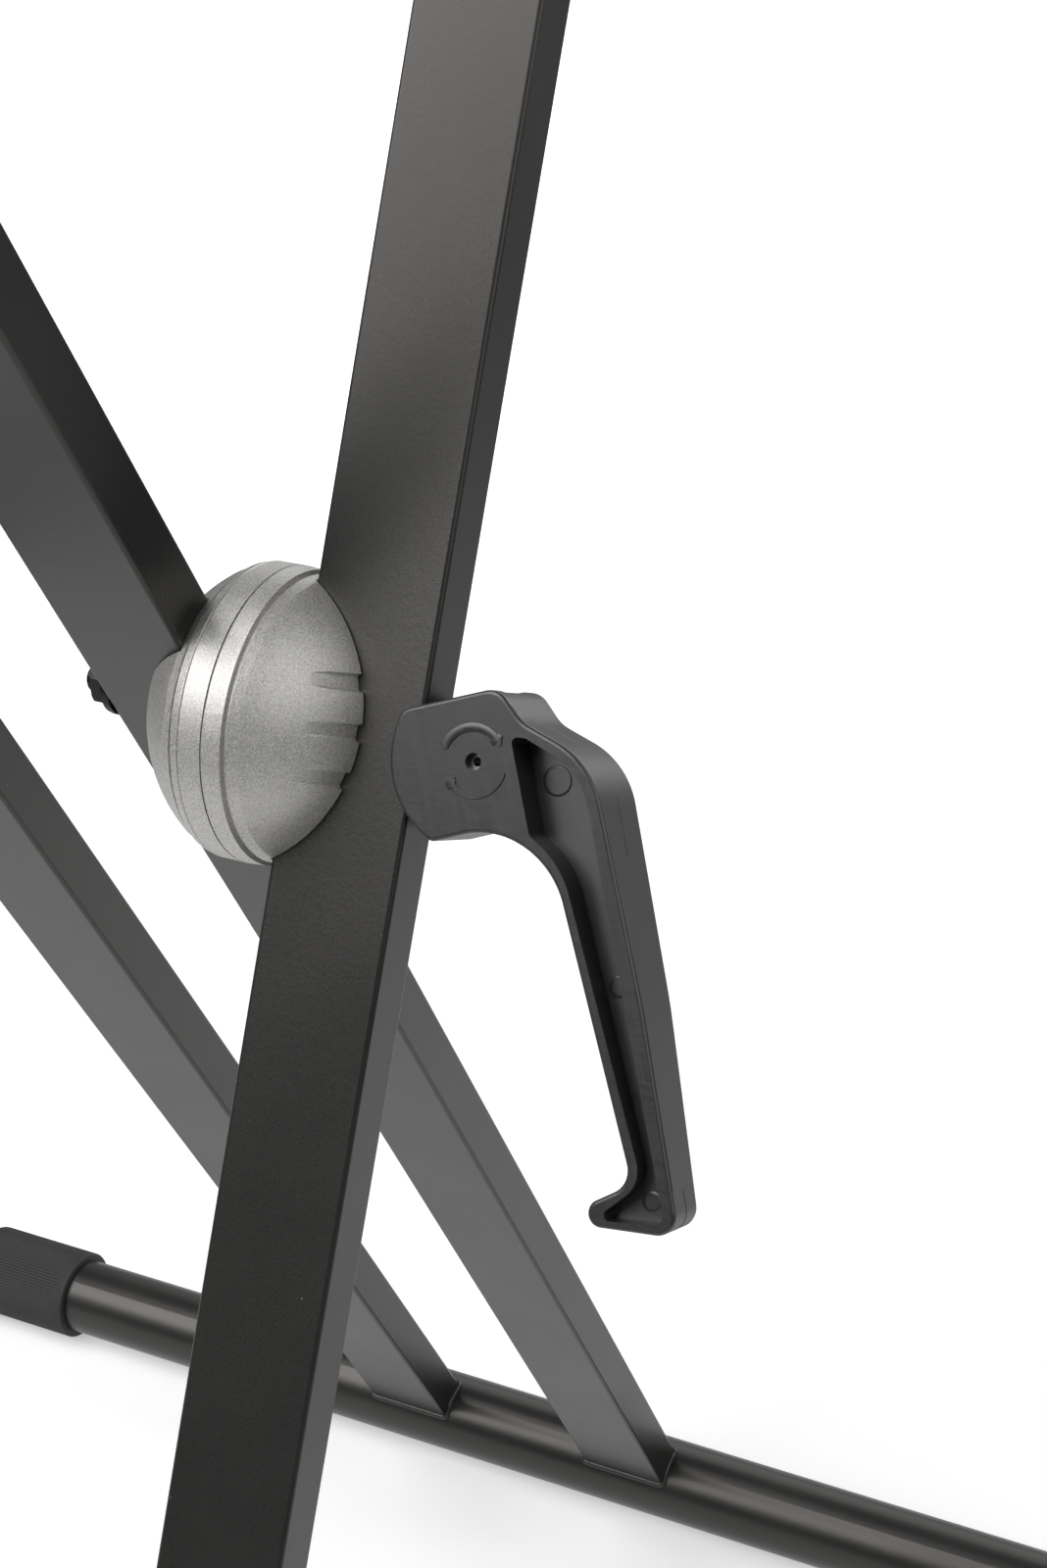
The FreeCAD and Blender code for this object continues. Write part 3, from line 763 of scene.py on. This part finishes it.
@dataclass
class Welds:
    """The weld bead round each leg where it is coped to its round tube."""

    leg_half_width: float = 6.75 * MM
    leg_half_depth: float = 15.0 * MM
    corner: float = 1.1 * MM
    bead: float = 1.25 * MM
    ripple: float = 0.03
    ripple_pitch: float = 3.2 * MM
    points_per_ripple: int = 14
    sides: int = 12

    def outline(self) -> np.ndarray:
        """The leg's rounded rectangle as an even closed path.

        Returns:
            Array (points, 2) of places across the leg's narrow and broad sides, without a repeated end.
        """
        x, y, r = self.leg_half_width, self.leg_half_depth, self.corner
        corners = [(x, 0.0, 0.0), (x, y, r), (-x, y, r), (-x, -y, r), (x, -y, r), (x, 0.0, 0.0)]
        return Surface.even(Surface.rounded(corners), self.ripple_pitch / self.points_per_ripple)[:-1]

    def build(self, lean: Frame, end: End, side: Side) -> bpy.types.Object:
        """Make one bead: a rippled round section carried along the line where leg and tube meet.

        The path's height above the tube's axis is the root of the tube's radius squared less the place
        across it squared, and the section's radius is a cosine of the length run along the path.

        Args:
            lean: The frame that the leg belongs to.
            end: Which end of the leg.
            side: The front or the rear leg of the pair.

        Returns:
            The bead.
        """
        path = self.outline()
        outward = -Surface.normals(np.roll(path, -1, axis=0) - np.roll(path, 1, axis=0))
        low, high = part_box(f"{lean.name}_leg_{side.name}".lower())
        leg_y = (low[1] + high[1]) / 2
        height = np.sqrt(TUBE_RADIUS ** 2 - path[:, 0] ** 2)
        steps = np.arange(len(path))
        radius = self.bead * (1 + self.ripple * np.cos(TAU * steps / self.points_per_ripple))
        angle = np.linspace(0, TAU, self.sides, endpoint=False)
        away = radius[:, None] * np.cos(angle)
        up = radius[:, None] * np.sin(angle)
        x = path[:, :1] + outward[:, :1] * away
        y = leg_y + path[:, 1:] + outward[:, 1:] * away
        z = end.value * (LEG_REACH - height[:, None] - up)
        points = stand_up(np.stack([x, y, z], axis=-1), lean)
        name = f"weld_{lean.name}_{end.name}_{side.name}".lower()
        return Surface.piece(name, points, around=True, along=True)

    def make(self, finishes: Finishes) -> None:
        """Make all eight beads.

        Args:
            finishes: The stand's materials.
        """
        for lean, end, side in product(Frame, End, Side):
            finishes.finish(self.build(lean, end, side), "powder_coat", lean.body)


@dataclass
class Thread:
    """The turns of a thread that show past a nut, on a bar along the hinge axis."""

    name: str
    body: str
    bar: str
    nut: str
    radius: float
    pitch: float
    rise: float = 0.16 * MM
    run_out: float = 0.5 * MM
    columns: int = 72
    rows_per_turn: int = 14

    def build(self) -> bpy.types.Object:
        """Make the thread: the radius rises and falls as a saw of the turns run less the angle.

        Returns:
            The thread, closed at both ends inside its bar.
        """
        start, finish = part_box(self.nut)[1][1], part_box(self.bar)[1][1] - self.run_out
        rows = int(self.rows_per_turn * (finish - start) / self.pitch) + 2
        angle = np.linspace(0, TAU, self.columns, endpoint=False)[None, :]
        place = np.linspace(start, finish, rows)[:, None]
        phase = ((place - start) / self.pitch - angle / TAU) % 1.0
        fade = np.clip((finish - place) / self.run_out, 0, 1)
        radius = self.radius + self.rise * (1 - np.abs(2 * phase - 1)) * fade
        radius = np.concatenate([0 * radius[:1], radius, 0 * radius[:1]])
        place = np.concatenate([place[:1], place, place[-1:]]) + 0 * radius
        up = HINGE_HEIGHT + radius * np.sin(angle)
        return Surface.piece(self.name, np.stack([radius * np.cos(angle), place, up], axis=-1), around=True)

    def make(self, finishes: Finishes) -> None:
        """Make and dress the thread.

        Args:
            finishes: The stand's materials.
        """
        finishes.finish(self.build(), "black_steel", self.body)


@dataclass
class Lever:
    """The cam lever's own coordinates, its thickness and the outline of its back.

    Its coordinates start at the pin: forward away from the leg, up along the leg, and across the
    lever's thickness, where the side that shows its cheek to the left is below nought.
    """

    half_at_pin: float = 10.2 * MM
    taper: float = 0.0455
    web_half: float = 1.5 * MM
    edge_round: float = 0.8 * MM
    reach: float = 100.0 * MM
    back_shares: tuple[tuple[float, float, float], ...] = (
        (-0.181, 0.077, 0.0), (0.030, 0.159, 0.048), (0.094, 0.098, 0.090), (0.257, 0.047, 0.187),
        (0.4475, -0.421, 1.693), (0.601, -0.856, 0.042), (0.395, -0.881, 0.0),
    )
    pin: np.ndarray = field(default_factory=lambda: np.array(JOINTS["lever_swing"]["pos_m"]))
    across: np.ndarray = field(default_factory=lambda: -np.array(JOINTS["lever_swing"]["axis"]))
    forward: np.ndarray = field(default_factory=lambda: np.array([0.0, -1.0, 0.0]))
    up: np.ndarray = field(default_factory=lambda: np.array([math.sin(LEAN), 0.0, math.cos(LEAN)]))

    def place(self, u: np.ndarray, t: np.ndarray, s: np.ndarray) -> np.ndarray:
        """Turn lever coordinates into the stand's frame.

        Args:
            u: Forward from the pin.
            t: Up along the leg from the pin.
            s: Across the lever.

        Returns:
            Array (..., 3) of places.
        """
        return self.pin + u[..., None] * self.forward + t[..., None] * self.up + s[..., None] * self.across

    def half(self, t: np.ndarray) -> np.ndarray:
        """Half the lever's thickness at a height, which falls evenly from the pin to the tip."""
        return self.half_at_pin + self.taper * t

    def back_path(self, step: float) -> tuple[np.ndarray, np.ndarray]:
        """The outline of the lever's back, from the head to the tip, and its outward directions.

        Args:
            step: Distance between the points.

        Returns:
            Places and outward unit vectors, each (points, 2).
        """
        corners = [tuple(share * self.reach for share in corner) for corner in self.back_shares]
        path = Surface.even(Surface.rounded(corners), step)
        return path, Surface.normals(np.gradient(path, axis=0))


@dataclass(frozen=True)
class ArrowMark:
    """One curved arrow that stands up a little on the lever's cheek, round the pin.

    Its angles run from forward towards up the leg, and its radii start at the pin's axis.
    """

    name: str
    tail_deg: float
    head_deg: float
    barb_deg: float
    tip_deg: float
    outer: float
    inner: float
    tail_inner: float
    head_outer: float
    head_inner: float
    barb_outer: float
    barb_inner: float
    tip_radius: float
    rise: float = 0.30 * MM
    sunk: float = 0.1 * MM
    flat: float = 0.89
    shoulder: float = 0.96
    shoulder_rise: float = 0.85
    tail_run_deg: float = 5.0
    head_run_deg: float = 0.5
    rows: int = 110

    def build(self, lever: Lever) -> bpy.types.Object:
        """Make the arrow: a low flat-topped section carried round the pin.

        The section's inner and outer radii run evenly between those of the tail, the band, the
        barbs and the tip, and its two ends close to a point.

        Args:
            lever: The lever that carries the mark.

        Returns:
            The arrow.
        """
        way = math.copysign(1.0, self.tip_deg - self.tail_deg)
        tail_middle = (self.outer + self.tail_inner) / 2
        stops = np.array([
            (self.tail_deg, tail_middle, tail_middle),
            (self.tail_deg + self.tail_run_deg * way, self.tail_inner, self.outer),
            (self.head_deg, self.inner, self.outer),
            (self.head_deg + self.head_run_deg * way, self.head_inner, self.head_outer),
            (self.barb_deg, self.barb_inner, self.barb_outer),
            (self.tip_deg, self.tip_radius, self.tip_radius),
        ])
        turns, inners, outers = stops[np.argsort(stops[:, 0])].T
        degrees = np.unique(np.concatenate([np.linspace(self.tail_deg, self.tip_deg, self.rows), turns]))
        inner = np.interp(degrees, turns, inners)[:, None]
        outer = np.interp(degrees, turns, outers)[:, None]
        share = np.array([-1, -1, -self.shoulder, -self.flat, 0, self.flat, self.shoulder, 1, 1])
        level = self.rise * np.array([0, 0, self.shoulder_rise, 1, 1, 1, self.shoulder_rise, 0, 0])
        level[[0, -1]] = -self.sunk
        radius = (inner + outer) / 2 + share * (outer - inner) / 2
        height = level + 0 * radius
        height[[0, -1]] = 0.0
        angle = np.radians(degrees)[:, None] + 0 * radius
        u, t = radius * np.cos(angle), radius * np.sin(angle)
        return Surface.piece(self.name, lever.place(u, t, -lever.half(t) - height), around=True)


@dataclass(frozen=True)
class EjectorMark:
    """The round mark of an ejector pin on the lever's web: a low rim whose steep side is inside."""

    name: str
    u: float
    t: float
    radius: float
    rise: float = 0.16 * MM
    lip: float = 0.10 * MM
    slope: float = 0.45 * MM
    sunk: float = 0.08 * MM
    columns: int = 72

    def build(self, lever: Lever) -> bpy.types.Object:
        """Make the rim: the section of a low ridge turned about the mark's middle.

        Args:
            lever: The lever that carries the mark.

        Returns:
            The rim.
        """
        section = np.array([
            (self.radius - self.lip, -self.sunk), (self.radius - self.lip / 2, self.rise / 2),
            (self.radius, self.rise), (self.radius + self.lip, self.rise),
            (self.radius + self.slope, 0.0), (self.radius + self.slope, -self.sunk),
        ])
        angle = np.linspace(0, TAU, self.columns, endpoint=False)[None, :]
        u = self.u + section[:, :1] * np.cos(angle)
        t = self.t + section[:, :1] * np.sin(angle)
        s = -lever.web_half - section[:, 1:] + 0 * u
        return Surface.piece(self.name, lever.place(u, t, s), around=True, along=True)


@dataclass(frozen=True)
class SeamLine:
    """A thin line along the lever's back: the mould's lines, and one near-black line that is painted shade.
    """

    name: str
    start: float
    finish: float
    half_width: float
    rise: float
    beside_edge: bool = False
    shoulder: float = 0.7
    sunk: float = 0.12 * MM
    step: float = 0.4 * MM

    def build(self, lever: Lever) -> bpy.types.Object:
        """Make the line: a low round section carried along the back's outline, closed at its ends.

        Args:
            lever: The lever that carries the line.

        Returns:
            The line.
        """
        path, outward = lever.back_path(self.step)
        run = np.arange(len(path)) * self.step
        kept = (run >= self.start) & (run <= self.finish)
        path, outward, run = path[kept], outward[kept], run[kept]
        fade = np.clip(np.minimum(run - run[0], run[-1] - run) / self.step, 0, 1)[:, None]
        share = np.array([-1, -1, -self.shoulder, 0, self.shoulder, 1, 1])
        level = self.rise * np.array([0, 0, self.shoulder, 1, self.shoulder, 0, 0])
        level[[0, -1]] = -self.sunk
        aside = share * self.half_width * fade
        height = level * fade
        u = path[:, :1] + outward[:, :1] * height
        t = path[:, 1:] + outward[:, 1:] * height
        middle = lever.edge_round - lever.half(path[:, 1:]) if self.beside_edge else 0 * path[:, :1]
        return Surface.piece(self.name, lever.place(u, t, middle + aside), around=True)


@dataclass
class LeverMarks:
    """The arrows, the ejector pins' marks, the mould's lines and a near-black line of painted shade on the
    cam lever.
    """

    lever: Lever = field(default_factory=Lever)
    arrows: tuple[ArrowMark, ...] = (
        ArrowMark(
            "lever_arrow_over", tail_deg=170.0, head_deg=55.0, barb_deg=48.0, tip_deg=36.3,
            outer=8.0 * MM, inner=6.1 * MM, tail_inner=6.2 * MM, head_outer=8.4 * MM, head_inner=5.6 * MM,
            barb_outer=8.55 * MM, barb_inner=5.45 * MM, tip_radius=6.93 * MM,
        ),
        ArrowMark(
            "lever_arrow_under", tail_deg=-7.0, head_deg=-124.0, barb_deg=-132.0, tip_deg=-143.5,
            outer=7.65 * MM, inner=6.0 * MM, tail_inner=7.0 * MM, head_outer=8.1 * MM, head_inner=5.5 * MM,
            barb_outer=8.0 * MM, barb_inner=5.2 * MM, tip_radius=6.8 * MM,
        ),
    )
    ejectors: tuple[EjectorMark, ...] = (
        EjectorMark("lever_ejector_head", u=15.55 * MM, t=-1.12 * MM, radius=2.8 * MM),
        EjectorMark("lever_ejector_middle", u=36.61 * MM, t=-39.61 * MM, radius=1.8 * MM),
        EjectorMark("lever_ejector_tip", u=51.44 * MM, t=-80.66 * MM, radius=1.65 * MM),
    )
    seams: tuple[SeamLine, ...] = (
        SeamLine(
            "lever_parting_line", start=26.0 * MM, finish=134.0 * MM,
            half_width=0.16 * MM, rise=0.12 * MM, beside_edge=True,
        ),
        SeamLine(
            "lever_flow_line_head", start=30.0 * MM, finish=40.0 * MM, half_width=0.12 * MM, rise=0.08 * MM
        ),
        SeamLine(
            "lever_flow_line_neck", start=50.0 * MM, finish=66.0 * MM, half_width=0.12 * MM, rise=0.08 * MM
        ),
    )
    # A near-black strip on the back near the tip: painted shade.
    painted_shade_line: SeamLine = SeamLine(
        "lever_gate", start=134.0 * MM, finish=144.0 * MM, half_width=0.40 * MM, rise=0.03 * MM
    )

    def make(self, finishes: Finishes) -> None:
        """Make and dress every mark.

        Args:
            finishes: The stand's materials.
        """
        for mark in (*self.arrows, *self.ejectors, *self.seams):
            finishes.finish(mark.build(self.lever), "lever_plastic", "lever")
        painted_shade_line = self.painted_shade_line.build(self.lever)
        finishes.finish(painted_shade_line, "lever_plastic", "lever")
        # The strip's near-black finish is painted shade.
        painted_shade_line.data.materials[0] = finishes.seam


@dataclass(frozen=True)
class Lamp:
    """One soft rectangular lamp, by its direction in degrees from the place that the lamps face."""

    name: str
    azimuth: float
    elevation: float
    size: tuple[float, float]
    radiance: float


@dataclass
class Studio:
    """The pale floor, the soft lamps and the camera."""

    camera_place: Place = (-433.73 * MM, -349.98 * MM, 713.59 * MM)
    camera_right: Place = (0.43828, -0.89790, -0.04107)
    camera_down: Place = (-0.46027, -0.18495, -0.86830)
    camera_clip: tuple[float, float] = (0.01, 50.0)
    focal_pixels: float = 2764.45
    frame_height_pixels: float = 1600.0
    sensor: float = 36.0
    floor_size: float = 14.0
    floor_gap: float = 0.2 * MM
    floor_roughness: float = 0.9
    floor_level: float = 0.80
    # Floor colour seen in gloss only, darker than its own: painted shade in its reflections.
    floor_level_in_gloss: float = 0.25
    floor_glow: float = 0.42
    floor_glow_in_gloss: float = 0.62
    glow_spread: tuple[float, float] = (0.45, 1.5)
    room_in_gloss: float = 0.12
    lamp_distance: float = 2.2
    aim: Place = (0.0, -0.07, 0.42)
    lamps: tuple[Lamp, ...] = (
        Lamp("key", azimuth=138.0, elevation=52.0, size=(2.0, 2.15), radiance=4.5),
        Lamp("side", azimuth=0.0, elevation=20.0, size=(2.6, 1.6), radiance=1.0),
        Lamp("front", azimuth=265.0, elevation=32.0, size=(2.4, 1.8), radiance=1.1),
        Lamp("low", azimuth=333.0, elevation=12.0, size=(1.8, 1.0), radiance=2.0),
    )

    def camera(self) -> None:
        """Stand the camera where the photograph was taken, with the same lens."""
        right, down = Vector(self.camera_right).normalized(), Vector(self.camera_down).normalized()
        ahead = right.cross(down)
        lens = bpy.data.cameras.new("camera")
        lens.sensor_width = self.sensor
        lens.lens = self.sensor * self.focal_pixels / self.frame_height_pixels
        lens.clip_start, lens.clip_end = self.camera_clip
        camera = bpy.data.objects.new("camera", lens)
        turn = Matrix((right, -down, -ahead)).transposed().to_4x4()
        camera.matrix_world = Matrix.Translation(Vector(self.camera_place)) @ turn
        bpy.context.scene.collection.objects.link(camera)
        bpy.context.scene.camera = camera

    def beyond(self, shader: Shader) -> Wire:
        """How far outside a soft circle round the floor's middle a point lies.

        Args:
            shader: The floor's nodes.

        Returns:
            Nought up to the spread's first distance, rising smoothly to one at its second.
        """
        away = shader.node("ShaderNodeVectorMath", {"operation": "LENGTH"}, {0: shader.place}, "Value")
        limits = {"Value": away, "From Min": self.glow_spread[0], "From Max": self.glow_spread[1]}
        return shader.node("ShaderNodeMapRange", {"interpolation_type": "SMOOTHSTEP"}, limits)

    def floor(self) -> None:
        """Lay the pale floor.

        Besides the light that falls on it, it has a glow of its own. The camera sees that glow rise
        from its level round the stand to white further out. In gloss it falls from its level there
        to nothing. No other ray meets it, so it lights no matt surface.
        """
        half = self.floor_size / 2
        corners = np.array([[[-half, -half, 0], [half, -half, 0]], [[-half, half, 0], [half, half, 0]]])
        floor = Surface.piece("floor", corners - np.array([0, 0, self.floor_gap]))
        shader = Shader("floor")
        glossy = shader.ray("Glossy")
        beyond = self.beyond(shader)
        shown = shader.mix(beyond, grey(self.floor_glow), WHITE)
        seen = shader.mix(shader.sight(), BLACK, shown)
        in_gloss = shader.mix(beyond, grey(self.floor_glow_in_gloss), BLACK)
        shader.surface(
            # The floor's colour is darker in gloss than to other rays: painted shade in its reflections.
            Base_Color=shader.mix(glossy, grey(self.floor_level), grey(self.floor_level_in_gloss)),
            Roughness=self.floor_roughness,
            Specular_IOR_Level=0.0,
            Emission_Color=shader.mix(glossy, seen, in_gloss),
            Emission_Strength=1.0,
        )
        floor.data.materials.append(shader.material)

    def hang(self, lamp: Lamp) -> None:
        """Hang one lamp, facing the place that the lamps face.

        Its power is its radiance times its area times pi.

        Args:
            lamp: Which lamp.
        """
        light = bpy.data.lights.new(lamp.name, "AREA")
        light.shape = "RECTANGLE"
        light.size, light.size_y = lamp.size
        light.energy = lamp.radiance * math.pi * lamp.size[0] * lamp.size[1]
        turn, rise = math.radians(lamp.azimuth), math.radians(lamp.elevation)
        away = Vector((math.cos(rise) * math.cos(turn), math.cos(rise) * math.sin(turn), math.sin(rise)))
        holder = bpy.data.objects.new(lamp.name, light)
        holder.location = Vector(self.aim) + self.lamp_distance * away
        holder.rotation_mode = "QUATERNION"
        holder.rotation_quaternion = (-away).to_track_quat("-Z", "Y")
        holder.visible_camera = False
        bpy.context.scene.collection.objects.link(holder)

    def room(self) -> None:
        """Put the stand in a dark room that looks white, and faintly so in gloss."""
        world = bpy.data.worlds.new("room")
        world.use_nodes = True
        nodes = Nodes(world.node_tree)
        share = nodes.sight() + nodes.ray("Glossy") * self.room_in_gloss
        background = world.node_tree.nodes["Background"]
        nodes.feed(background.inputs["Color"], nodes.mix(share, BLACK, WHITE))
        nodes.feed(background.inputs["Strength"], 1.0)
        bpy.context.scene.world = world

    def make(self) -> None:
        """Set up the whole studio."""
        self.camera()
        self.floor()
        self.room()
        for lamp in self.lamps:
            self.hang(lamp)
        bpy.context.scene.view_settings.view_transform = "Standard"


def main() -> None:
    """Dress the stand, add its fine pieces and light it."""
    logging.basicConfig(level=logging.INFO)
    finishes = Finishes()
    finishes.dress_nodes()
    EndCaps().make(finishes)
    Welds().make(finishes)
    threads = (
        Thread("rod_thread", "clamp_rod", "pull_rod", "rod_nut", radius=3.0 * MM, pitch=1.0 * MM),
        Thread("pivot_thread", "outer_frame", "pivot_bolt", "pivot_nut", radius=4.0 * MM, pitch=1.25 * MM),
    )
    for thread in threads:
        thread.make(finishes)
    LeverMarks().make(finishes)
    Studio().make()


if __name__ == "__main__":
    main()
